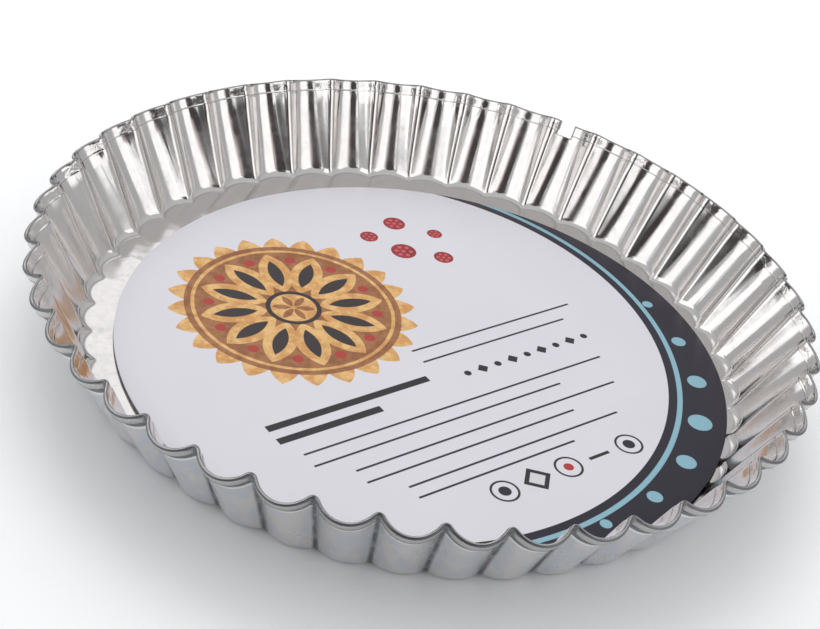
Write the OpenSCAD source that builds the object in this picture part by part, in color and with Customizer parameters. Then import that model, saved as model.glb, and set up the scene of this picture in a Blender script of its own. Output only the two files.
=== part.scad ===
// Fluted tart mould drawn from one sheet of tinned steel, with a round printed card lying in it.
// Millimetres, +Z up. The origin is at the middle of the underside and a flute's crest lies on +X.

/* [Rim] */
// Diameter over the outside of the folded rim, at the crests of the flutes
rim_d = 200; // [190:1:280]
// Height of the rim's highest points, which are at the ridges between flutes
rim_h = 26; // [20:0.5:40]
// How far the rim drops from a ridge to the crest of a flute
rim_dip = 2; // [0.5:0.1:3]
// How far the folded edge reaches down the outside of the wall
hem_h = 2.3; // [1.6:0.1:5]
// Thickness of the folded edge, both layers and the little air between them
hem_t = 1; // [0.9:0.05:1.3]
// Outward step of the wall where the fold begins, seen as a thin line all round the inside
crease_out = 0.15; // [0.1:0.05:0.35]
// Height of that step along the wall
crease_rise = 0.5; // [0.3:0.1:1]

/* [Wall and floor] */
// Thickness of the sheet
sheet_t = 0.4; // [0.3:0.05:0.6]
// Diameter of the flat floor between the feet of opposite ridges
floor_d = 164; // [130:0.5:170]
// Radius of the bend between floor and wall, on the inside
bend_r = 3; // [2:0.1:4.5]

/* [Flutes] */
// Number of flutes round the wall
flutes = 44; // [32:1:48]
// Depth of the flutes at the rim, from crest to ridge
flute_rim_depth = 3.1; // [2:0.1:4]
// Depth of the flutes at the floor
flute_foot_depth = 2; // [1.5:0.1:3]
// Radius of the ridges between flutes at the rim, seen from above on the inside
ridge_rim_r = 2; // [1.4:0.1:2.5]
// Radius of the ridges at the floor
ridge_foot_r = 1.3; // [0.9:0.1:2.5]

/* [Gap in the rim] */
// Flute that has the gap, counted from +X towards +Y
gap_flute = 8; // [0:1:31]
// Turn of the gap's middle away from that flute's crest, in degrees
gap_turn = 1.6; // [-2:0.1:2]
// Width of the gap
gap_w = 4; // [2:0.1:5]
// How far the gap reaches down the wall below the folded edge
gap_below = 1.3; // [0.1:0.1:2]

/* [Printed card] */
// Thickness of the card
card_t = 0.5; // [0.3:0.05:0.8]
// How much smaller the card's radius is than the flat floor's
card_room = 2.6; // [1.6:0.1:20]
// Air kept between the card and the mould where it rests
card_air = 0.3; // [0.2:0.05:0.6]
// How far the card has slid from the middle. Beyond card_room its edge climbs the wall's bend
card_slide = 4.2; // [0:0.1:5.1]
// Direction in which the card has slid, in degrees from +X towards +Y
card_angle = -48; // [-180:1:180]

/* [Hidden] */

// Steps of the two arcs of each flute, of the floor's bend and of the rim's rounded top
crest_steps = 4;
ridge_steps = 4;
bend_steps = 3;
top_steps = 3;
// Overlap that lets a cutter pass the surface it cuts
cut_over = 1;

pitch_angle = 360 / flutes;
flute_points = crest_steps + ridge_steps;
ring_points = flutes * flute_points;

floor_r = floor_d / 2;
rim_r = rim_d / 2;
top_r = hem_t / 2;
// Radius of the floor at the flutes' crests, and height of the fold's middle there
crest_foot = floor_r + flute_foot_depth;
crest_middle_h = rim_h - rim_dip - top_r;
// Distance of the fold's middle line from the wall's inner face
fold_mid = crease_out + top_r;

function polar(radius, angle) = radius * [cos(angle), sin(angle)];

// Direction of the wall's outward normal, for a bend about [foot, z] and a fold whose middle is at top
function wall_normal(foot, top) =
    let (
        centre = [foot, sheet_t + bend_r],
        away = top - centre
    )
    atan2(away[1], away[0]) - acos((bend_r + fold_mid) / norm(away));

// Middle of the fold, so that the rim reaches the wanted radius whatever the wall's slope
function fold_middle(foot, reach, height) =
    let (first = wall_normal(foot, [reach - top_r, height]))
    [reach - top_r * cos(first), height];

// One upright section of the mould, from the floor's upper face over the rim to its underside.
// Each entry is [radius, height, how much of the wall's thickness lies inside it seen from above].
function section(foot, reach, height) =
    let (
        middle = fold_middle(foot, reach, height),
        slope = wall_normal(foot, middle),
        out = polar(1, slope),
        up = polar(1, slope + 90),
        bend = [foot, sheet_t + bend_r],
        place = function (offset, rise) middle + (offset - fold_mid) * out + rise * up,
        entry = function (point, offset) [point[0], point[1], offset * cos(slope)],
        bend_angle = function (i) -90 + (slope + 90) * i / bend_steps
    )
    concat(
        [for (i = [0:bend_steps]) concat(bend + polar(bend_r, bend_angle(i)), 0)],
        [entry(place(0, -hem_h - crease_rise), 0)],
        [entry(place(crease_out, -hem_h), crease_out)],
        [
            for (i = [0:top_steps])
                let (turn = slope + 180 - 180 * i / top_steps)
                entry(middle + polar(top_r, turn), crease_out + hem_t * i / top_steps)
        ],
        [entry(place(crease_out + hem_t, -hem_h), crease_out + hem_t)],
        [entry(place(sheet_t, -hem_h), sheet_t)],
        [
            for (i = [bend_steps:-1:0])
                concat(bend + polar(bend_r + sheet_t, bend_angle(i)), sheet_t * cos(bend_angle(i)))
        ]
    );

// Corners of one level of the mould: every flute is a wide crest arc that runs tangent into a
// narrow ridge arc. Height changes evenly with radius between the crest's and the ridge's.
function ring(crest, ridge) =
    let (
        depth = crest[0] - ridge[0],
        middle_r = crest[0] - depth / 2,
        half_pitch = PI * middle_r / flutes,
        both_radii = (half_pitch * half_pitch + depth * depth) / (2 * depth),
        ridge_r = ridge_foot_r + (ridge_rim_r - ridge_foot_r) * ridge[1] / rim_h,
        inner_r = ridge_r - ridge[2],
        outer_r = both_radii - inner_r,
        arc = atan2(half_pitch, both_radii - depth),
        crest_point = function (turn) [outer_r * sin(turn), outer_r * (cos(turn) - 1)],
        ridge_point = function (turn)
            [half_pitch - inner_r * sin(turn), inner_r * (1 - cos(turn)) - depth]
    )
    [
        for (k = [0:flutes - 1], i = [0:flute_points - 1])
            let (
                local = i <= crest_steps
                    ? crest_point(arc * (2 * i / crest_steps - 1))
                    : ridge_point(arc * (1 - 2 * (i - crest_steps) / ridge_steps)),
                angle = k * pitch_angle + local[0] / middle_r * 180 / PI,
                height = crest[1] + (ridge[1] - crest[1]) * -local[1] / depth
            )
            concat(polar(crest[0] + local[1], angle), height)
    ];

// Faces between neighbouring levels, and fans that close the floor's two sides
function band_faces(levels) = [
    for (level = [0:levels - 2], i = [0:ring_points - 1])
        let (
            low = level * ring_points,
            high = low + ring_points,
            next = (i + 1) % ring_points
        )
        each [[low + i, low + next, high + next], [low + i, high + next, high + i]]
];
function fan_faces(start, hub, flip) = [
    for (i = [0:ring_points - 1])
        let (next = (i + 1) % ring_points)
        flip ? [hub, start + i, start + next] : [hub, start + next, start + i]
];

module drawn_sheet() {
    crests = section(crest_foot, rim_r, crest_middle_h);
    ridges = section(floor_r, rim_r - flute_rim_depth, crest_middle_h + rim_dip);
    levels = len(crests);
    last = (levels - 1) * ring_points;
    hub = levels * ring_points;
    polyhedron(
        points = concat(
            [for (i = [0:levels - 1]) each ring(crests[i], ridges[i])],
            [[0, 0, sheet_t], [0, 0, 0]]
        ),
        faces = concat(
            band_faces(levels),
            fan_faces(0, hub, false),
            fan_faces(last, hub + 1, true)
        ),
        convexity = 10
    );
}

// Cutter for the short stretch where the folded edge is missing. It leans with the wall at a
// crest, so that its floor runs along the lower edge of the fold.
module rim_gap() {
    middle = fold_middle(crest_foot, rim_r, crest_middle_h);
    inward = fold_mid + flute_rim_depth + cut_over;
    down = hem_h + gap_below;
    rotate(gap_flute * pitch_angle + gap_turn)
        translate([middle[0], 0, middle[1]])
            rotate([0, -wall_normal(crest_foot, middle), 0])
                translate([-inward, -gap_w / 2, -down])
                    cube([inward + top_r + cut_over, gap_w, down + top_r + rim_dip + cut_over]);
}

module mould() {
    color("gainsboro")
        difference() {
            drawn_sheet();
            rim_gap();
        }
}

// The card's low side lies on the floor. The side that it has slid towards leans on the wall's
// bend, whose inner face there is an arc of bend_r.
module card() {
    card_r = floor_r - card_room;
    onto_bend = max(0, card_slide - card_room);
    arc_r = bend_r - card_air;
    high = bend_r - sqrt(arc_r * arc_r - onto_bend * onto_bend);
    tilt = asin((high - card_air) / (2 * card_r));
    slid = polar(card_slide, card_angle);
    color("lavender")
        translate([slid[0], slid[1], sheet_t + (card_air + high) / 2])
            rotate([0, -tilt, card_angle])
                cylinder(h = card_t, r = card_r, $fn = 180);
}

mould();
card();
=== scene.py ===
# Fluted tart mould of tinned steel with a round printed card lying in it.
# Sizes are written in millimetres, as in the part's source, and become metres in the meshes.

import math

import bpy
import numpy as np
from mathutils import Matrix, Vector


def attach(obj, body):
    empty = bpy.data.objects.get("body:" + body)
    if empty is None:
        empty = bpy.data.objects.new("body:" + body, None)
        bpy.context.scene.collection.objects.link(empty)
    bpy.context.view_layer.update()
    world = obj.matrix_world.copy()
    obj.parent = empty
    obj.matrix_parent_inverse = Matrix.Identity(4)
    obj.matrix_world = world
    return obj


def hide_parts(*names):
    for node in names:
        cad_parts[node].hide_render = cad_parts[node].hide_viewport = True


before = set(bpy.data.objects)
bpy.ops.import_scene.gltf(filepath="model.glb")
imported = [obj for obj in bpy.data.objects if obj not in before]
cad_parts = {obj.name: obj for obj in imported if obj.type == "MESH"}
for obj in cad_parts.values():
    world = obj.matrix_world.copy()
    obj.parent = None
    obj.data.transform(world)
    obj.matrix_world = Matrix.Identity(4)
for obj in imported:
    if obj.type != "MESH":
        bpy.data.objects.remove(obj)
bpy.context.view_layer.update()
MM = 0.001

# Mould, with the values of the part's source. The radius and the height are a hair smaller, so that
# the rim's finer rounding stays inside the solid's box.
RIM_R = 99.93
RIM_H = 25.995
RIM_DIP = 2.0
HEM_H = 2.3
HEM_T = 1.0
CREASE_OUT = 0.15
CREASE_RISE = 0.5
SHEET_T = 0.4
FLOOR_R = 82.0
BEND_R = 3.0
FLUTES = 44
FLUTE_RIM_DEPTH = 3.1
FLUTE_FOOT_DEPTH = 2.0
RIDGE_RIM_R = 2.0
RIDGE_FOOT_R = 1.3
GAP_FLUTE = 8
GAP_TURN = math.radians(1.6)
GAP_W = 4.0
GAP_BELOW = 1.3
# Overlap that lets the gap's cutter pass the surface it cuts
CUT_OVER = 1.0

# Card, with the values of the part's source, and the radius of its slightly rounded edge
CARD_T = 0.5
CARD_ROOM = 2.6
CARD_AIR = 0.3
CARD_SLIDE = 4.2
CARD_ANGLE = math.radians(-48)
CARD_R = FLOOR_R - CARD_ROOM
CARD_ROUND = 0.12

# Steps of the fine meshes, and the turns at which the card's rounded edge has its corners
CREST_STEPS = 14
RIDGE_STEPS = 12
BEND_STEPS = 8
WALL_STEPS = 6
CREASE_STEPS = 4
BAND_STEPS = 3
TOP_STEPS = 8
CARD_STEPS = 240
CARD_RINGS = 11
CARD_ROUND_TURNS = (0.8, 1.57)

# Sizes that follow from those above
TOP_R = HEM_T / 2
FOLD_MID = CREASE_OUT + TOP_R
FOLD_OUT = CREASE_OUT + HEM_T
CREST_FOOT = FLOOR_R + FLUTE_FOOT_DEPTH
CREST_MIDDLE_H = RIM_H - RIM_DIP - TOP_R
PITCH = 2 * math.pi / FLUTES
GAP_ANGLE = GAP_FLUTE * PITCH + GAP_TURN
FLUTE_POINTS = CREST_STEPS + RIDGE_STEPS
RING_POINTS = FLUTES * FLUTE_POINTS

# Lower edge of the fold, rounded and hollowed underneath. Each step is an offset from the wall's
# inner face and a rise above the edge.
FOLD_EDGE_ROUND = 0.2
FOLD_EDGE_STEPS = (
    (FOLD_OUT - 0.06, 0.06), (FOLD_OUT - FOLD_EDGE_ROUND, 0.0), (FOLD_OUT - 0.36, 0.04),
    (FOLD_OUT - 0.42, 0.2), (SHEET_T + 0.32, 1.2), (SHEET_T + 0.1, 1.5), (SHEET_T, 1.2),
)

# A point's level is its height plus its radius times a slope that makes the waving rim level.
# One millimetre down the wall takes LEVEL_PER_MM off it.
LEVEL_SLOPE = RIM_DIP / FLUTE_RIM_DEPTH
LEVEL_PER_MM = 1.18
# Stands for a distance beyond all parts of the mould
FAR_OFF = 1000.0

# Ranges of the tin's dark lines, of its painted highlight line, of the fold's tone and of its puckers.
# The dark lines are painted shade in the grooves, under the fold, along the crease and round the
# floor's edge, painted dark reflections on the rim's shoulder and lip, and darkened cut edges at the
# gap. Levels count from the fold's lower edge, reaches are distances in millimetres from a ridge or
# from the gap's side, and a normal is the part of the surface's normal that points upwards.
GROOVE_SHADE_REACH = (0.2, 1.0)
GAP_EDGE_REACH = (0.3, 0.45)
PUCKER_REACH = (2.0, 5.0)
SHOULDER_REFLECTION_NORMAL = (-0.2, 0.84)
LIP_REFLECTION_NORMAL = (0.6, 0.92)
LIP_REFLECTION_LEVEL = 2.0
UNDER_FOLD_SHADE_LEVEL = (-2.4, 0.55)
CREASE_SHADE_LEVEL = (-0.72, -0.38)
PAINTED_HIGHLIGHT_LEVEL = (-3.5, -2.6)
FOLD_TONE_LEVEL = (-0.5, 0.5)
PUCKER_LEVEL = (-1.0, 0.4)
FOOT_SHADE_HEIGHT = (SHEET_T + 0.04, SHEET_T + 0.2)

# Tones of the tin. A pair is mixed by noise.
TIN_INSIDE = ((0.785, 0.76, 0.745, 1), (0.74, 0.72, 0.705, 1))
TIN_OUTSIDE = ((0.8, 0.78, 0.77, 1), (0.7, 0.727, 0.77, 1))
TIN_FOLD = (0.58, 0.57, 0.56, 1)
# Painted highlight line below the fold
TIN_PAINTED_HIGHLIGHT = (0.98, 0.98, 0.98, 1)
# Painted shade and painted dark reflections, and the darkened cut edges at the gap
TIN_SHADE_AND_CUT_EDGE = (0.1, 0.11, 0.12, 1)

# Colours of the card. A pair is mixed by noise.
PAPER = ((0.63, 0.62, 0.67, 1), (0.68, 0.67, 0.71, 1))
GOLD = ((0.58, 0.27, 0.07, 1), (0.74, 0.46, 0.17, 1))
BROWN = ((0.25, 0.085, 0.025, 1), (0.36, 0.15, 0.05, 1))
BERRY = ((0.23, 0.008, 0.016, 1), (0.36, 0.02, 0.03, 1))
SEED = (0.56, 0.1, 0.1, 1)
RED = (0.4, 0.03, 0.02, 1)
BLACK = (0.03, 0.022, 0.024, 1)
INK = (0.02, 0.018, 0.022, 1)
SIGN_GREY = (0.6, 0.6, 0.63, 1)
NAVY = (0.016, 0.013, 0.024, 1)
PALE_BLUE = (0.23, 0.43, 0.52, 1)

# Print on the card, in millimetres along and across its lines
PRINT_ANGLE = math.radians(39)
INK_EDGE = 0.08
ROSETTE_AT = (-22, 29)
# Each berry: place along, place across, radius
BERRIES = ((22, 40, 3.6), (31, 33, 2.8), (17, 50, 2.6), (28, 53, 3.2), (36, 44, 2.2))
# Radii of a berry's ring of seeds and of a seed, as shares of the berry's radius
SEED_RING = 0.58
SEED_SIZE = 0.17
# Each rule: place across, left end, right end
THICK_RULES = ((-10.5, -55, -7), (-15.5, -55, -25))
THIN_RULES = (
    (0.5, -4, 50), (-4.5, -4, 44),
    (-22, -52, 42), (-26.5, -52, 24),
    (-32, -44, 38), (-36.5, -44, 20),
    (-42, -36, 30), (-46, -36, 12),
)
THICK_HALF_W = 1.1
THIN_HALF_W = 0.32
# Row of small dots and rhombs in turn
STUD_ROW = -13
DOT_STUDS = range(4, 45, 10)
RHOMB_STUDS = range(9, 45, 10)
# Row of small signs, with the places of the three that have a ring
SIGN_ROW = -53
RINGED_SIGNS = (-16, 4, 24)
# Crescent between the card's edge and a circle whose middle is set back from the card's
CRESCENT_ANGLE = math.radians(-49)
CRESCENT_BACK = 14
CRESCENT_INNER_R = 78
CRESCENT_LINE_R = 81
CRESCENT_DOTS_R = 72.5
# Each dot: turn from the crescent's middle in degrees, radius
CRESCENT_DOTS = ((-42, 1.5), (-28, 2.0), (-14, 2.6), (0, 3.2), (14, 2.6), (28, 2.0), (42, 1.5))

# Camera, fitted to the photograph
CAMERA_AT = (-25.068, -341.256, 243.250)
CAMERA_AIM = (-1.811, 13.223, 0.0)
CAMERA_ROLL = math.radians(11.577)
CAMERA_LENS = 70.81
CAMERA_SENSOR = 36.0
# Nearest and furthest that the camera sees, in metres
CAMERA_CLIP = (0.01, 20)

# Studio, in metres, in scene brightness, and in degrees with azimuth from +Y towards +X.
# Round one low direction the world is at its darkest within the inner angle, and beyond the
# outer angle it isn't darkened.
WORLD_TINT = (0.98, 0.99, 1.01, 1)
WORLD_LOW = 0.48
WORLD_HIGH = 0.62
WORLD_DARK = 0.1
DARK_TOWARDS = (193, 0)
DARK_INNER = 14
DARK_OUTER = 26
FLOOR_HALF = 4.0
FLOOR_Z = -0.0001
FLOOR_TONE = (0.95, 0.95, 0.95, 1)
FLAG_TINT = (1, 0.84, 0.84, 1)
# Each light or flag: azimuth, elevation, distance, width, height, twist, brightness
SOFTBOXES = {
    "right_box": (117.4, 28.2, 2.06, 37.6, 32.4, 12.6, 0.79),
    "right_low_box": (161.0, 24.1, 3.0, 26.1, 57.2, 60, 0.75),
    "left_low_box": (244.8, 8.1, 3.0, 50.6, 15.1, -10.1, 0.79),
    "left_high_box": (242.6, 41.5, 0.5, 51.2, 48.5, 33.9, 0.79),
    "back_left_box": (-17, 38, 1.5, 22, 16, 0, 0.55),
}
FLAGS = {
    "flag_left": (181, 28.6, 0.2, 33, 19, -2, 0.055),
    "flag_right": (166.1, 44.2, 0.25, 34.3, 37.0, 25.4, 0.055),
    "flag_grey": (148.7, 32.3, 0.26, 25.3, 9.0, 23.6, 0.48),
    "flag_near": (192, 4.8, 0.152, 84, 9.6, 0, 0.03),
    "flag_back": (4, 9, 0.5, 80, 20, 0, 0.06),
}
FILLS = {
    "fill_behind": (-8, 48, 1.4, 44, 44, 0, 2.0),
    "fill_above": (0, 89, 1.5, 96, 96, 0, 0.4),
}


def polar(radius, angle):
    return np.array([radius * math.cos(angle), radius * math.sin(angle)])


def wall_normal(foot, top):
    """Angle of the wall's outward normal in an upright section."""
    away = top - np.array([foot, SHEET_T + BEND_R])
    return math.atan2(away[1], away[0]) - math.acos((BEND_R + FOLD_MID) / np.linalg.norm(away))


def fold_middle(foot, reach, height):
    """Middle of the fold, placed so that the rim reaches the wanted radius."""
    first = wall_normal(foot, np.array([reach - TOP_R, height]))
    return np.array([reach - TOP_R * math.cos(first), height])


def section(foot, reach, height):
    """Upright section from the floor's upper face over the rim to the underside.

    Each row is radius, height, and the part of the sheet that lies inside it seen from above.
    """
    middle = fold_middle(foot, reach, height)
    slope = wall_normal(foot, middle)
    out = polar(1, slope)
    up = polar(1, slope + math.pi / 2)
    bend = np.array([foot, SHEET_T + BEND_R])
    bend_rise = float((bend - middle) @ up)
    crease_foot = -HEM_H - CREASE_RISE
    rows = []

    def add(point, inside):
        rows.append((point[0], point[1], inside))

    def place(offset, rise):
        add(middle + (offset - FOLD_MID) * out + rise * up, offset * math.cos(slope))

    def turn(radius, offset, share):
        angle = -math.pi / 2 + (slope + math.pi / 2) * share
        add(bend + polar(radius, angle), offset * math.cos(angle))

    for i in range(BEND_STEPS + 1):
        turn(BEND_R, 0, i / BEND_STEPS)
    for i in range(1, WALL_STEPS + 1):
        place(0, bend_rise + (crease_foot - bend_rise) * i / WALL_STEPS)
    for i in range(1, CREASE_STEPS + 1):
        t = i / CREASE_STEPS
        place(CREASE_OUT * t * t * (3 - 2 * t), crease_foot + CREASE_RISE * t)
    for i in range(1, BAND_STEPS):
        place(CREASE_OUT, -HEM_H * (1 - i / BAND_STEPS))
    for i in range(TOP_STEPS + 1):
        angle = slope + math.pi - math.pi * i / TOP_STEPS
        add(middle + polar(TOP_R, angle), (CREASE_OUT + HEM_T * i / TOP_STEPS) * math.cos(slope))
    for i in range(1, BAND_STEPS):
        place(FOLD_OUT, -(HEM_H - FOLD_EDGE_ROUND) * i / (BAND_STEPS - 1))
    for offset, rise in FOLD_EDGE_STEPS:
        place(offset, rise - HEM_H)
    for i in range(WALL_STEPS):
        place(SHEET_T, -HEM_H + (bend_rise + HEM_H) * i / WALL_STEPS)
    for i in range(BEND_STEPS, -1, -1):
        turn(BEND_R + SHEET_T, SHEET_T, i / BEND_STEPS)
    return np.array(rows)


def fold_edge_level():
    """Level of the fold's lower edge."""
    middle = fold_middle(CREST_FOOT, RIM_R, CREST_MIDDLE_H)
    slope = wall_normal(CREST_FOOT, middle)
    out = TOP_R - FOLD_EDGE_ROUND
    radius, height = middle + out * polar(1, slope) - HEM_H * polar(1, slope + math.pi / 2)
    return height + radius * LEVEL_SLOPE


def ring(crest, ridge):
    """One closed row of points: each flute is a wide crest arc that runs into a narrow ridge arc."""
    depth = crest[0] - ridge[0]
    middle_r = crest[0] - depth / 2
    half_pitch = math.pi * middle_r / FLUTES
    both_radii = (half_pitch ** 2 + depth ** 2) / (2 * depth)
    ridge_r = RIDGE_FOOT_R + (RIDGE_RIM_R - RIDGE_FOOT_R) * ridge[1] / RIM_H
    inner_r = ridge_r - ridge[2]
    outer_r = both_radii - inner_r
    arc = math.atan2(half_pitch, both_radii - depth)
    crest_turn = arc * (2 * np.arange(CREST_STEPS + 1) / CREST_STEPS - 1)
    ridge_turn = arc * (1 - 2 * np.arange(1, RIDGE_STEPS) / RIDGE_STEPS)
    crest_along = outer_r * np.sin(crest_turn)
    crest_inset = outer_r * (np.cos(crest_turn) - 1)
    ridge_along = half_pitch - inner_r * np.sin(ridge_turn)
    ridge_inset = inner_r * (1 - np.cos(ridge_turn)) - depth
    along = np.concatenate([crest_along, ridge_along])
    inset = np.concatenate([crest_inset, ridge_inset])
    flute = np.repeat(np.arange(FLUTES), FLUTE_POINTS)
    angle = flute * PITCH + np.tile(along / middle_r, FLUTES)
    radius = crest[0] + np.tile(inset, FLUTES)
    height = crest[1] - (ridge[1] - crest[1]) * np.tile(inset, FLUTES) / depth
    return angle, radius, height


def new_mesh(name, points, faces):
    """Mesh from points in metres."""
    mesh = bpy.data.meshes.new(name)
    mesh.from_pydata(np.array(points).tolist(), [], faces)
    return mesh


def shell_mesh():
    """Fine mesh of the drawn sheet, before the gap in the rim is cut."""
    crests = section(CREST_FOOT, RIM_R, CREST_MIDDLE_H)
    ridges = section(FLOOR_R, RIM_R - FLUTE_RIM_DEPTH, CREST_MIDDLE_H + RIM_DIP)
    rows = len(crests)
    points = []
    for crest, ridge in zip(crests, ridges):
        angle, radius, height = ring(crest, ridge)
        points.append(np.stack([radius * np.cos(angle), radius * np.sin(angle), height], 1))
    points.append(np.array([[0, 0, SHEET_T], [0, 0, 0]]))
    faces = []
    hub = rows * RING_POINTS
    last = (rows - 1) * RING_POINTS
    for i in range(RING_POINTS):
        following = (i + 1) % RING_POINTS
        for row in range(rows - 1):
            low = row * RING_POINTS
            high = low + RING_POINTS
            faces.append((low + following, low + i, high + i, high + following))
        faces.append((hub, i, following))
        faces.append((hub + 1, last + following, last + i))
    return new_mesh("shell", np.concatenate(points) * MM, faces)


def link(name, data):
    """Puts an object with this mesh, light or camera into the scene."""
    piece = bpy.data.objects.new(name, data)
    bpy.context.scene.collection.objects.link(piece)
    return piece


def cut_rim_gap(piece):
    """Cuts away the folded edge along one short stretch, with a box that leans with the wall."""
    middle = fold_middle(CREST_FOOT, RIM_R, CREST_MIDDLE_H)
    slope = wall_normal(CREST_FOOT, middle)
    ends_x = (-(FOLD_MID + FLUTE_RIM_DEPTH + CUT_OVER), TOP_R + CUT_OVER)
    ends_y = (-GAP_W / 2, GAP_W / 2)
    ends_z = (-(HEM_H + GAP_BELOW), TOP_R + RIM_DIP + CUT_OVER)
    corners = [Vector((x, y, z)) * MM for x in ends_x for y in ends_y for z in ends_z]
    sides = [(0, 1, 3, 2), (4, 6, 7, 5), (0, 4, 5, 1), (2, 3, 7, 6), (0, 2, 6, 4), (1, 5, 7, 3)]
    mesh = new_mesh("gap_cutter", corners, sides)
    mesh.transform(
        Matrix.Rotation(GAP_ANGLE, 4, "Z")
        @ Matrix.Translation(Vector((middle[0], 0, middle[1])) * MM)
        @ Matrix.Rotation(-slope, 4, "Y")
    )
    cutter = link("gap_cutter", mesh)
    cut = piece.modifiers.new("gap", "BOOLEAN")
    cut.operation = "DIFFERENCE"
    cut.solver = "EXACT"
    cut.object = cutter
    apply_modifiers(piece)
    bpy.data.objects.remove(cutter)


def apply_modifiers(piece):
    graph = bpy.context.evaluated_depsgraph_get()
    mesh = bpy.data.meshes.new_from_object(piece.evaluated_get(graph))
    piece.modifiers.clear()
    piece.data = mesh


def smooth(piece, sharp_degrees):
    """Smooth shading, apart from edges that turn by more than an angle."""
    piece.data.polygons.foreach_set("use_smooth", [True] * len(piece.data.polygons))
    piece.data.set_sharp_from_angle(angle=math.radians(sharp_degrees))


def make_mould():
    piece = link("tart_mould", shell_mesh())
    cut_rim_gap(piece)
    smooth(piece, sharp_degrees=40)
    return piece


def card_place():
    """Where the card's underside lies: slid aside, with one edge up on the wall's bend."""
    arc_r = BEND_R - CARD_AIR
    high = BEND_R - math.sqrt(arc_r ** 2 - (CARD_SLIDE - CARD_ROOM) ** 2)
    tilt = math.asin((high - CARD_AIR) / (2 * CARD_R))
    slid = polar(CARD_SLIDE, CARD_ANGLE)
    return (
        Matrix.Translation(Vector((slid[0], slid[1], SHEET_T + (CARD_AIR + high) / 2)) * MM)
        @ Matrix.Rotation(CARD_ANGLE, 4, "Z")
        @ Matrix.Rotation(-tilt, 4, "Y")
    )


def make_card():
    """Disc with a slightly rounded edge."""
    flat_r = CARD_R - CARD_ROUND
    rows = [(r, CARD_T) for r in np.linspace(0, flat_r, CARD_RINGS + 1)[1:]]
    for t in CARD_ROUND_TURNS:
        rows.append((flat_r + CARD_ROUND * math.sin(t), CARD_T - CARD_ROUND + CARD_ROUND * math.cos(t)))
    rows.append((CARD_R, CARD_ROUND))
    for t in CARD_ROUND_TURNS:
        rows.append((flat_r + CARD_ROUND * math.cos(t), CARD_ROUND - CARD_ROUND * math.sin(t)))
    turns = 2 * math.pi * np.arange(CARD_STEPS) / CARD_STEPS
    points = [(r * math.cos(t), r * math.sin(t), z) for r, z in rows for t in turns]
    points += [(0, 0, CARD_T), (0, 0, 0)]
    hub = len(rows) * CARD_STEPS
    last = hub - CARD_STEPS
    faces = []
    for i in range(CARD_STEPS):
        following = (i + 1) % CARD_STEPS
        faces.append((hub, i, following))
        faces.append((hub + 1, last + following, last + i))
        for row in range(len(rows) - 1):
            low = row * CARD_STEPS
            high = low + CARD_STEPS
            faces.append((low + i, high + i, high + following, low + following))
    mesh = new_mesh("card", np.array(points) * MM, faces)
    mesh.transform(card_place())
    piece = link("printed_card_disc", mesh)
    smooth(piece, sharp_degrees=35)
    return piece


def feed(tree, socket, value):
    """Gives a socket a constant, or links another node's output to it."""
    if isinstance(value, bpy.types.NodeSocket):
        tree.links.new(value, socket)
    else:
        socket.default_value = value


def calc(tree, operation, *values):
    node = tree.nodes.new("ShaderNodeMath")
    node.operation = operation
    for socket, value in zip(node.inputs, values):
        feed(tree, socket, value)
    return node.outputs[0]


def length(tree, a, b):
    """Length of a line whose two parts are at right angles."""
    squares = calc(tree, "ADD", calc(tree, "MULTIPLY", a, a), calc(tree, "MULTIPLY", b, b))
    return calc(tree, "SQRT", squares)


def remap(tree, value, source, target=(0.0, 1.0)):
    """Smooth step that takes a range of values to a range of results."""
    node = tree.nodes.new("ShaderNodeMapRange")
    node.interpolation_type = "SMOOTHSTEP"
    feed(tree, node.inputs["Value"], value)
    feed(tree, node.inputs["From Min"], source[0])
    feed(tree, node.inputs["From Max"], source[1])
    feed(tree, node.inputs["To Min"], target[0])
    feed(tree, node.inputs["To Max"], target[1])
    return node.outputs["Result"]


def between(tree, value, limits, soft, strength):
    """A strength between two limits and 0 outside them, with soft edges."""
    low, high = limits
    rise = remap(tree, value, (low - soft, low + soft))
    fall = remap(tree, value, (high - soft, high + soft), (1.0, 0.0))
    return calc(tree, "MULTIPLY", calc(tree, "MULTIPLY", rise, fall), strength)


def mix(tree, factor, first, second):
    """Mixes two colours."""
    node = tree.nodes.new("ShaderNodeMix")
    node.data_type = "RGBA"
    feed(tree, node.inputs["Factor"], factor)
    feed(tree, node.inputs["A"], first)
    feed(tree, node.inputs["B"], second)
    return node.outputs["Result"]


def coordinates(tree, scale=(1, 1, 1), turn=0.0):
    """Part coordinates in millimetres, turned about Z and scaled along each axis."""
    place = tree.nodes.new("ShaderNodeTexCoord").outputs["Object"]
    mapping = tree.nodes.new("ShaderNodeMapping")
    mapping.inputs["Rotation"].default_value = (0, 0, turn)
    mapping.inputs["Scale"].default_value = [s / MM for s in scale]
    tree.links.new(place, mapping.inputs["Vector"])
    return mapping.outputs["Vector"]


def noise(tree, scale, detail, roughness, turn=0.0):
    """Noise whose scale is in cells per millimetre along each axis."""
    node = tree.nodes.new("ShaderNodeTexNoise")
    tree.links.new(coordinates(tree, scale, turn), node.inputs["Vector"])
    node.inputs["Scale"].default_value = 1
    node.inputs["Detail"].default_value = detail
    node.inputs["Roughness"].default_value = roughness
    return node.outputs["Fac"]


def bump(tree, height, distance, normal=None):
    """Bump whose height of 1 is distance millimetres."""
    node = tree.nodes.new("ShaderNodeBump")
    node.inputs["Strength"].default_value = 1
    node.inputs["Distance"].default_value = distance * MM
    tree.links.new(height, node.inputs["Height"])
    if normal is not None:
        tree.links.new(normal, node.inputs["Normal"])
    return node.outputs["Normal"]


def new_material(name):
    material = bpy.data.materials.new(name)
    material.use_nodes = True
    tree = material.node_tree
    return material, tree, tree.nodes["Principled BSDF"]


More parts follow.
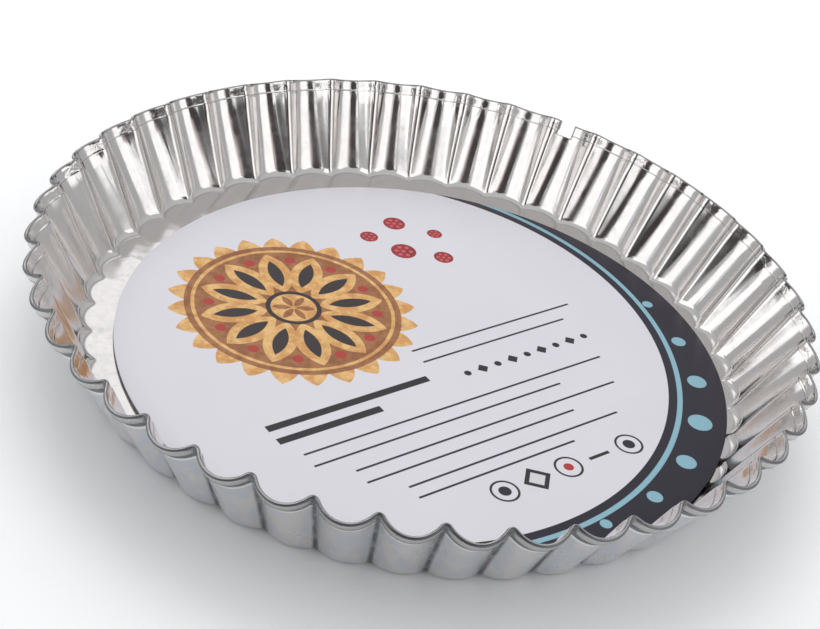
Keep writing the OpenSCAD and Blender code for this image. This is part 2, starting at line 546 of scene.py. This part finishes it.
class Sheet:
    """What the tin's masks need to know of a point on the mould, as node outputs.

    radius and height give its place, and level counts from the fold's lower edge. outside is 1 where
    the surface faces away from the middle, and upward is the part of its normal that points up.
    from_gap and from_ridge are its distances from the gap's middle and from the nearest ridge.
    """

    def __init__(self, tree):
        self.tree = tree
        place = tree.nodes.new("ShaderNodeSeparateXYZ")
        tree.links.new(coordinates(tree), place.inputs[0])
        x, y, self.height = place.outputs
        self.radius = length(tree, x, y)
        self.outside, self.upward = self.facing(x, y)
        self.from_gap = self.distance_from_line(x, y, GAP_ANGLE)
        self.from_ridge = self.distance_from_ridge(x, y)
        level = calc(tree, "MULTIPLY_ADD", self.radius, LEVEL_SLOPE, self.height)
        self.level = calc(tree, "SUBTRACT", level, fold_edge_level())

    def facing(self, x, y):
        """1 where the surface faces away from the mould's middle, and its normal's upward part."""
        normal = self.tree.nodes.new("ShaderNodeTexCoord").outputs["Normal"]
        parts = self.tree.nodes.new("ShaderNodeSeparateXYZ")
        self.tree.links.new(normal, parts.inputs[0])
        along_x = calc(self.tree, "MULTIPLY", parts.outputs[0], x)
        outward = calc(self.tree, "MULTIPLY_ADD", parts.outputs[1], y, along_x)
        return calc(self.tree, "GREATER_THAN", outward, 0.0), parts.outputs[2]

    def distance_from_line(self, x, y, angle):
        """Distance from a line that leaves the middle at an angle, or far off behind the middle."""
        along = calc(self.tree, "MULTIPLY", x, math.cos(angle))
        along = calc(self.tree, "MULTIPLY_ADD", y, math.sin(angle), along)
        aside = calc(self.tree, "MULTIPLY", x, -math.sin(angle))
        aside = calc(self.tree, "ABSOLUTE", calc(self.tree, "MULTIPLY_ADD", y, math.cos(angle), aside))
        behind = calc(self.tree, "LESS_THAN", along, 0.0)
        return calc(self.tree, "MULTIPLY_ADD", behind, FAR_OFF, aside)

    def distance_from_ridge(self, x, y):
        """Distance along the round from the nearest ridge between two flutes."""
        turn = calc(self.tree, "ADD", calc(self.tree, "ARCTAN2", y, x), 2 * math.pi)
        share = calc(self.tree, "FRACT", calc(self.tree, "MULTIPLY", turn, 1 / PITCH))
        aside = calc(self.tree, "ABSOLUTE", calc(self.tree, "SUBTRACT", share, 0.5))
        return calc(self.tree, "MULTIPLY", calc(self.tree, "MULTIPLY", aside, PITCH), self.radius)


def highest(tree, first, *others):
    """Largest of several values."""
    for other in others:
        first = calc(tree, "MAXIMUM", first, other)
    return first


def gap_edges(tree, sheet):
    """Mask of the cut edges round the gap in the rim."""
    aside = calc(tree, "SUBTRACT", sheet.from_gap, GAP_W / 2)
    below = calc(tree, "SUBTRACT", -LEVEL_PER_MM * GAP_BELOW, sheet.level)
    return remap(tree, highest(tree, aside, below), GAP_EDGE_REACH, (0.8, 0.0))


def outer_shade_and_reflection_lines(tree, sheet, mottle):
    """Painted shade in the hollows between the flutes, a painted dark reflection on the rim's outer
    rounding, and painted shade below the fold.
    """
    # Painted light and shade on the outside: shade in the grooves, a dark reflection on the rim's
    # shoulder, shade under the fold
    groove_shade = remap(tree, sheet.from_ridge, GROOVE_SHADE_REACH, (0.9, 0.0))
    groove_shade = calc(tree, "MULTIPLY", groove_shade, remap(tree, mottle, (0.2, 0.6), (0.6, 1.0)))
    shoulder_reflection = between(tree, sheet.upward, SHOULDER_REFLECTION_NORMAL, soft=0.06, strength=0.85)
    under = between(tree, sheet.level, UNDER_FOLD_SHADE_LEVEL, soft=0.15, strength=0.8)
    return highest(tree, groove_shade, shoulder_reflection, under)


def inner_shade_and_reflection_lines(tree, sheet, mottle):
    """Uneven painted shade along the wall's step into the rim's band, a painted dark reflection on the
    top of the rim's inner side, and faint painted shade round the floor's edge.
    """
    # Painted light and shade inside: shade along the crease, a dark reflection on the rim's lip, faint
    # shade round the floor
    uneven = remap(tree, mottle, (0.35, 0.65), (0.15, 0.5))
    crease_shade = between(tree, sheet.level, CREASE_SHADE_LEVEL, soft=0.08, strength=uneven)
    lip_reflection = between(tree, sheet.upward, LIP_REFLECTION_NORMAL, soft=0.03, strength=0.65)
    lip_reflection = calc(tree, "MULTIPLY", lip_reflection, calc(tree, "GREATER_THAN", sheet.level, LIP_REFLECTION_LEVEL))
    foot = between(tree, sheet.height, FOOT_SHADE_HEIGHT, soft=0.04, strength=0.22)
    return highest(tree, crease_shade, lip_reflection, foot)


def shade_reflection_and_cut_edge_lines(tree, sheet, mottle):
    """Mask of all dark lines: painted shade and painted dark reflections in the folds and on the rim,
    and the darkened cut edges at the gap.
    """
    inside = calc(tree, "SUBTRACT", 1.0, sheet.outside)
    lines = calc(tree, "MULTIPLY", inside, inner_shade_and_reflection_lines(tree, sheet, mottle))
    lines = calc(tree, "MULTIPLY_ADD", sheet.outside, outer_shade_and_reflection_lines(tree, sheet, mottle), lines)
    return highest(tree, lines, gap_edges(tree, sheet))


def tin_tone(tree, sheet, dark, mottle):
    """Warm inside, streaked outside with a painted highlight line below a greyer fold, and the dark
    lines of painted shade, painted dark reflection and cut edges.
    """
    streak = noise(tree, (0.3, 0.3, 0.04), detail=3.0, roughness=0.55)
    inner = mix(tree, remap(tree, mottle, (0.35, 0.7)), *TIN_INSIDE)
    outer = mix(tree, remap(tree, streak, (0.38, 0.6)), *TIN_OUTSIDE)
    # Painted highlight: a light line on the outside below the fold
    highlight_line = between(tree, sheet.level, PAINTED_HIGHLIGHT_LEVEL, soft=0.15, strength=sheet.outside)
    outer = mix(tree, highlight_line, outer, TIN_PAINTED_HIGHLIGHT)
    outer = mix(tree, remap(tree, sheet.level, FOLD_TONE_LEVEL), outer, TIN_FOLD)
    # One dark tone for the painted shade, the painted dark reflections and the cut edges
    return mix(tree, dark, mix(tree, sheet.outside, inner, outer), TIN_SHADE_AND_CUT_EDGE)


def tin_roughness(tree, sheet, dark, mottle):
    """Bright tin with smudges, duller outside and in the dark lines."""
    smudge = noise(tree, (0.05, 0.07, 0.09), detail=4.0, roughness=0.6)
    smudged = remap(tree, smudge, (0.4, 0.66), (0.09, 0.19))
    dull = calc(tree, "ADD", smudged, remap(tree, mottle, (0.45, 0.75), (0.0, 0.08)))
    dull = calc(tree, "MULTIPLY_ADD", dark, 0.2, dull)
    return calc(tree, "MULTIPLY_ADD", sheet.outside, 0.06, dull)


def tin_normal(tree, sheet):
    """Shallow waves from drawing, puckers in the fold near the ridges, and fine rolled grain."""
    waves = noise(tree, (0.14, 0.14, 0.05), detail=1.0, roughness=0.4)
    pucker = noise(tree, (0.9, 0.9, 0.7), detail=2.0, roughness=0.5)
    grain = noise(tree, (0.12, 3.2, 3.2), detail=3.0, roughness=0.6, turn=0.3)
    near_ridge = remap(tree, sheet.from_ridge, PUCKER_REACH, (1.0, 0.0))
    where = calc(tree, "MULTIPLY", near_ridge, remap(tree, sheet.level, PUCKER_LEVEL))
    normal = bump(tree, waves, 0.06)
    normal = bump(tree, calc(tree, "MULTIPLY", pucker, where), 0.14, normal)
    return bump(tree, grain, 0.0022, normal)


def tinplate():
    material, tree, shader = new_material("tinplate")
    sheet = Sheet(tree)
    mottle = noise(tree, (0.5, 0.5, 0.35), detail=4.0, roughness=0.65)
    # Mask of the painted shade, the painted dark reflections and the cut edges
    dark = shade_reflection_and_cut_edge_lines(tree, sheet, mottle)
    shader.inputs["Metallic"].default_value = 1
    tree.links.new(tin_tone(tree, sheet, dark, mottle), shader.inputs["Base Color"])
    tree.links.new(tin_roughness(tree, sheet, dark, mottle), shader.inputs["Roughness"])
    tree.links.new(tin_normal(tree, sheet), shader.inputs["Normal"])
    return material


class Print:
    """Layers of simple shapes in millimetres on the card, with u along the lines and v across them.

    A shape is a node output: the distance from its edge, below 0 inside.
    """

    def __init__(self, tree, paper, baked):
        self.tree = tree
        self.colour = paper
        self.baked = baked
        spot = tree.nodes.new("ShaderNodeSeparateXYZ")
        tree.links.new(self.card_coordinates(), spot.inputs[0])
        self.u, self.v = spot.outputs[0], spot.outputs[1]

    def card_coordinates(self):
        """Coordinates turned to the print's own axes about the card's middle."""
        centre = polar(CARD_SLIDE, CARD_ANGLE)
        mapping = self.tree.nodes.new("ShaderNodeMapping")
        mapping.vector_type = "TEXTURE"
        mapping.inputs["Location"].default_value = (centre[0] * MM, centre[1] * MM, 0)
        mapping.inputs["Rotation"].default_value = (0, 0, PRINT_ANGLE)
        mapping.inputs["Scale"].default_value = (MM, MM, MM)
        place = self.tree.nodes.new("ShaderNodeTexCoord").outputs["Object"]
        self.tree.links.new(place, mapping.inputs["Vector"])
        return mapping.outputs["Vector"]

    def calc(self, operation, *values):
        return calc(self.tree, operation, *values)

    def away(self, u, v):
        """Distances from a point along and across the lines, with their signs."""
        return self.calc("SUBTRACT", self.u, u), self.calc("SUBTRACT", self.v, v)

    def disc(self, u, v, radius):
        return self.calc("SUBTRACT", length(self.tree, *self.away(u, v)), radius)

    def loop(self, u, v, radius, half_width):
        return self.calc("SUBTRACT", self.calc("ABSOLUTE", self.disc(u, v, radius)), half_width)

    def bar(self, u, v, half_length, half_width):
        du, dv = self.away(u, v)
        over_u = self.calc("SUBTRACT", self.calc("ABSOLUTE", du), half_length)
        over_v = self.calc("SUBTRACT", self.calc("ABSOLUTE", dv), half_width)
        return self.calc("MAXIMUM", over_u, over_v)

    def rule(self, v, left, right, half_width):
        return self.bar((left + right) / 2, v, (right - left) / 2, half_width)

    def rhomb(self, u, v, half):
        du, dv = self.away(u, v)
        total = self.calc("ADD", self.calc("ABSOLUTE", du), self.calc("ABSOLUTE", dv))
        return self.calc("SUBTRACT", total, half)

    def around(self, u, v, count, shift):
        """Distances along and beside the nearest of count spokes round a point."""
        du, dv = self.away(u, v)
        radius = length(self.tree, du, dv)
        step = 2 * math.pi / count
        # Two whole turns more keep the angle above 0
        turn = self.calc("ADD", self.calc("ARCTAN2", dv, du), shift + 4 * math.pi)
        local = self.calc("SUBTRACT", self.calc("MODULO", turn, step), step / 2)
        along = self.calc("MULTIPLY", radius, self.calc("COSINE", local))
        aside = self.calc("MULTIPLY", radius, self.calc("SINE", local))
        return along, aside

    def petals(self, u, v, count, inner, outer, half_width):
        """Ring of lens shapes, each the overlap of two circles."""
        along, aside = self.around(u, v, count, 0.0)
        half = (outer - inner) / 2
        radius = (half ** 2 + half_width ** 2) / (2 * half_width)
        out = self.calc("SUBTRACT", along, (inner + outer) / 2)
        over = self.calc("ADD", self.calc("ABSOLUTE", aside), radius - half_width)
        return self.calc("SUBTRACT", length(self.tree, out, over), radius)

    def beads(self, u, v, count, ring_r, radius, shift=0.0):
        """Ring of dots."""
        along, aside = self.around(u, v, count, shift)
        out = self.calc("SUBTRACT", along, ring_r)
        return self.calc("SUBTRACT", length(self.tree, out, aside), radius)

    def lay(self, colour, *shapes):
        """Prints a colour inside each of the shapes."""
        nearest = shapes[0]
        for shape in shapes[1:]:
            nearest = self.calc("MINIMUM", nearest, shape)
        inside = remap(self.tree, nearest, (-INK_EDGE, INK_EDGE), (1.0, 0.0))
        self.colour = mix(self.tree, inside, self.colour, colour)


def print_crescent(card):
    """Navy crescent along one edge, with a pale blue line and dots."""
    u, v = polar(-CRESCENT_BACK, CRESCENT_ANGLE)
    card.lay(NAVY, card.calc("MULTIPLY", card.disc(u, v, CRESCENT_INNER_R), -1.0))
    card.lay(PALE_BLUE, card.loop(u, v, CRESCENT_LINE_R, half_width=0.7))
    for turn, radius in CRESCENT_DOTS:
        u, v = polar(CRESCENT_DOTS_R, CRESCENT_ANGLE + math.radians(turn))
        card.lay(PALE_BLUE, card.disc(u, v, radius))


def print_rosette(card):
    """Warm rosette of lens shapes, beads and rings, with baked tones."""
    u, v = ROSETTE_AT
    brown = mix(card.tree, card.baked, *BROWN)
    gold = mix(card.tree, card.baked, *GOLD)
    card.lay(gold, card.petals(u, v, count=24, inner=18.5, outer=33, half_width=3.9))
    card.lay(brown, card.disc(u, v, radius=28.6))
    card.lay(gold, card.loop(u, v, radius=26.4, half_width=0.5))
    card.lay(gold, card.petals(u, v, count=12, inner=7, outer=25, half_width=4.3))
    card.lay(BLACK, card.petals(u, v, count=12, inner=9.8, outer=21.8, half_width=1.9))
    card.lay(RED, card.beads(u, v, count=12, ring_r=22.2, radius=1.5, shift=math.pi / 12))
    card.lay(BLACK, card.disc(u, v, radius=7.4))
    card.lay(gold, card.disc(u, v, radius=6.1))
    card.lay(brown, card.petals(u, v, count=6, inner=0.6, outer=5.7, half_width=1.0))


def print_berries(card):
    """Red berries, each with a ring of paler seeds and one in its middle."""
    seeds = []
    for u, v, r in BERRIES:
        seeds.append(card.beads(u, v, count=6, ring_r=SEED_RING * r, radius=SEED_SIZE * r))
        seeds.append(card.disc(u, v, SEED_SIZE * r))
    card.lay(mix(card.tree, card.baked, *BERRY), *[card.disc(u, v, r) for u, v, r in BERRIES])
    card.lay(SEED, *seeds)


def print_lines(card):
    """Thick and thin rules, and a row of dots and rhombs."""
    thick = [card.rule(*rule, THICK_HALF_W) for rule in THICK_RULES]
    thin = [card.rule(*rule, THIN_HALF_W) for rule in THIN_RULES]
    dots = [card.disc(u, STUD_ROW, radius=1.0) for u in DOT_STUDS]
    rhombs = [card.rhomb(u, STUD_ROW, half=1.7) for u in RHOMB_STUDS]
    card.lay(INK, *thick, *thin)
    card.lay(INK, *dots, *rhombs)


def print_signs(card):
    """Row of small signs: three ringed dots, a rhomb filled with grey, and a short bar."""
    left, middle, right = RINGED_SIGNS
    rhomb_at = (left + middle) / 2
    bar_at = (middle + right) / 2
    rings = [card.loop(u, SIGN_ROW, radius=3.4, half_width=0.3) for u in RINGED_SIGNS]
    dots = [card.disc(u, SIGN_ROW, radius=1.6) for u in (left, right)]
    rhomb = card.rhomb(rhomb_at, SIGN_ROW, half=4.2)
    bar = card.bar(bar_at, SIGN_ROW, half_length=3.2, half_width=0.5)
    card.lay(INK, *rings, *dots, rhomb, bar)
    card.lay(SIGN_GREY, card.rhomb(rhomb_at, SIGN_ROW, half=2.6))
    card.lay(RED, card.disc(middle, SIGN_ROW, radius=1.3))


def card_print():
    """Coated paper with a generic print of colour fields and simple shapes."""
    material, tree, shader = new_material("card_print")
    fibre = noise(tree, (1.6, 1.6, 1.6), detail=3.0, roughness=0.6)
    cloud = noise(tree, (0.03, 0.03, 0.03), detail=2.0, roughness=0.5)
    crust = noise(tree, (0.35, 0.35, 0.35), detail=3.0, roughness=0.6)
    card = Print(tree, mix(tree, cloud, *PAPER), remap(tree, crust, (0.35, 0.65)))
    print_crescent(card)
    print_rosette(card)
    print_berries(card)
    print_lines(card)
    print_signs(card)
    tree.links.new(card.colour, shader.inputs["Base Color"])
    tree.links.new(remap(tree, cloud, (0.3, 0.7), (0.36, 0.46)), shader.inputs["Roughness"])
    tree.links.new(bump(tree, fibre, 0.004), shader.inputs["Normal"])
    return material


def rectangle(name, half_w, half_h, z=0.0):
    """Mesh of a flat rectangle, in metres."""
    corners = [(-half_w, -half_h, z), (half_w, -half_h, z), (half_w, half_h, z), (-half_w, half_h, z)]
    return new_mesh(name, corners, [(0, 1, 2, 3)])


def make_floor():
    mesh = rectangle("floor", FLOOR_HALF, FLOOR_HALF, FLOOR_Z)
    material, _, shader = new_material("floor")
    shader.inputs["Base Color"].default_value = FLOOR_TONE
    shader.inputs["Roughness"].default_value = 0.9
    mesh.materials.append(material)
    floor = link("floor", mesh)


def make_camera():
    data = bpy.data.cameras.new("camera")
    data.lens = CAMERA_LENS
    data.sensor_width = CAMERA_SENSOR
    data.sensor_fit = "HORIZONTAL"
    data.clip_start, data.clip_end = CAMERA_CLIP
    camera = link("camera", data)
    place = Vector(CAMERA_AT) * MM
    forward = (Vector(CAMERA_AIM) * MM - place).normalized()
    level = forward.cross(Vector((0, 0, 1))).normalized()
    upright = level.cross(forward)
    right = level * math.cos(CAMERA_ROLL) + upright * math.sin(CAMERA_ROLL)
    up = upright * math.cos(CAMERA_ROLL) - level * math.sin(CAMERA_ROLL)
    axes = Matrix((right, up, -forward)).transposed().to_4x4()
    camera.matrix_world = Matrix.Translation(place) @ axes
    bpy.context.scene.camera = camera


def heading(azimuth, elevation):
    """Direction from the object, with azimuth from +Y towards +X and elevation upwards, in degrees."""
    a = math.radians(azimuth)
    e = math.radians(elevation)
    return Vector((math.sin(a) * math.cos(e), math.cos(a) * math.cos(e), math.sin(e)))


def place_facing(piece, azimuth, elevation, distance, twist):
    """Puts a flat thing at a distance in a direction, facing the object, turned about its own middle."""
    towards = heading(azimuth, elevation)
    facing = (-towards).to_track_quat("-Z", "Y").to_matrix().to_4x4()
    turn = Matrix.Rotation(math.radians(twist), 4, "Z")
    piece.matrix_world = Matrix.Translation(towards * distance) @ facing @ turn


def half_span(distance, degrees):
    """Half the width of a thing that spans an angle at a distance."""
    return distance * math.tan(math.radians(degrees / 2))


def softbox(name, azimuth, elevation, distance, width, height, twist, brightness):
    """Rectangular soft light that faces the object. Width and height are in degrees as seen from it."""
    data = bpy.data.lights.new(name, "AREA")
    data.shape = "RECTANGLE"
    data.size = 2 * half_span(distance, width)
    data.size_y = 2 * half_span(distance, height)
    data.energy = brightness * math.pi * data.size * data.size_y
    light = link(name, data)
    place_facing(light, azimuth, elevation, distance, twist)
    light.visible_camera = False
    return light


def flag(name, azimuth, elevation, distance, width, height, twist, brightness):
    """Dark or grey panel seen only in reflections, as the dark parts of a studio are."""
    mesh = rectangle(name, half_span(distance, width), half_span(distance, height))
    material, _, shader = new_material(name)
    shader.inputs["Base Color"].default_value = (0, 0, 0, 1)
    shader.inputs["Roughness"].default_value = 1
    shader.inputs["Specular IOR Level"].default_value = 0
    shader.inputs["Emission Color"].default_value = FLAG_TINT
    shader.inputs["Emission Strength"].default_value = brightness
    mesh.materials.append(material)
    piece = link(name, mesh)
    place_facing(piece, azimuth, elevation, distance, twist)
    piece.visible_camera = False
    piece.visible_diffuse = False
    piece.visible_shadow = False


def make_world():
    """Grey surroundings, lighter overhead and darker low down at the camera's side, as in a studio."""
    world = bpy.data.worlds.new("studio")
    world.use_nodes = True
    tree = world.node_tree
    direction = tree.nodes.new("ShaderNodeTexCoord").outputs["Generated"]
    parts = tree.nodes.new("ShaderNodeSeparateXYZ")
    tree.links.new(direction, parts.inputs[0])
    level = remap(tree, parts.outputs[2], (0.0, 1.0), (WORLD_LOW, WORLD_HIGH))
    facing = tree.nodes.new("ShaderNodeVectorMath")
    facing.operation = "DOT_PRODUCT"
    facing.inputs[1].default_value = heading(*DARK_TOWARDS)
    tree.links.new(direction, facing.inputs[0])
    edges = (math.cos(math.radians(DARK_OUTER)), math.cos(math.radians(DARK_INNER)))
    darkening = remap(tree, facing.outputs["Value"], edges, (1.0, WORLD_DARK / WORLD_LOW))
    background = tree.nodes["Background"]
    background.inputs["Color"].default_value = WORLD_TINT
    tree.links.new(calc(tree, "MULTIPLY", level, darkening), background.inputs["Strength"])
    bpy.context.scene.world = world


def make_lights():
    """Softboxes and flags seen only in reflections, and fills that light only dull surfaces."""
    for name, values in SOFTBOXES.items():
        softbox(name, *values).visible_diffuse = False
    for name, values in FLAGS.items():
        flag(name, *values)
    for name, values in FILLS.items():
        softbox(name, *values).visible_glossy = False


bpy.context.scene.view_settings.view_transform = "Standard"
make_camera()
make_world()
make_lights()
make_floor()

mould = make_mould()
mould.data.materials.clear()
mould.data.materials.append(tinplate())
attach(mould, "root")
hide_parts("mould")

card = make_card()
card.data.materials.append(card_print())
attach(card, "root")
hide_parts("card")
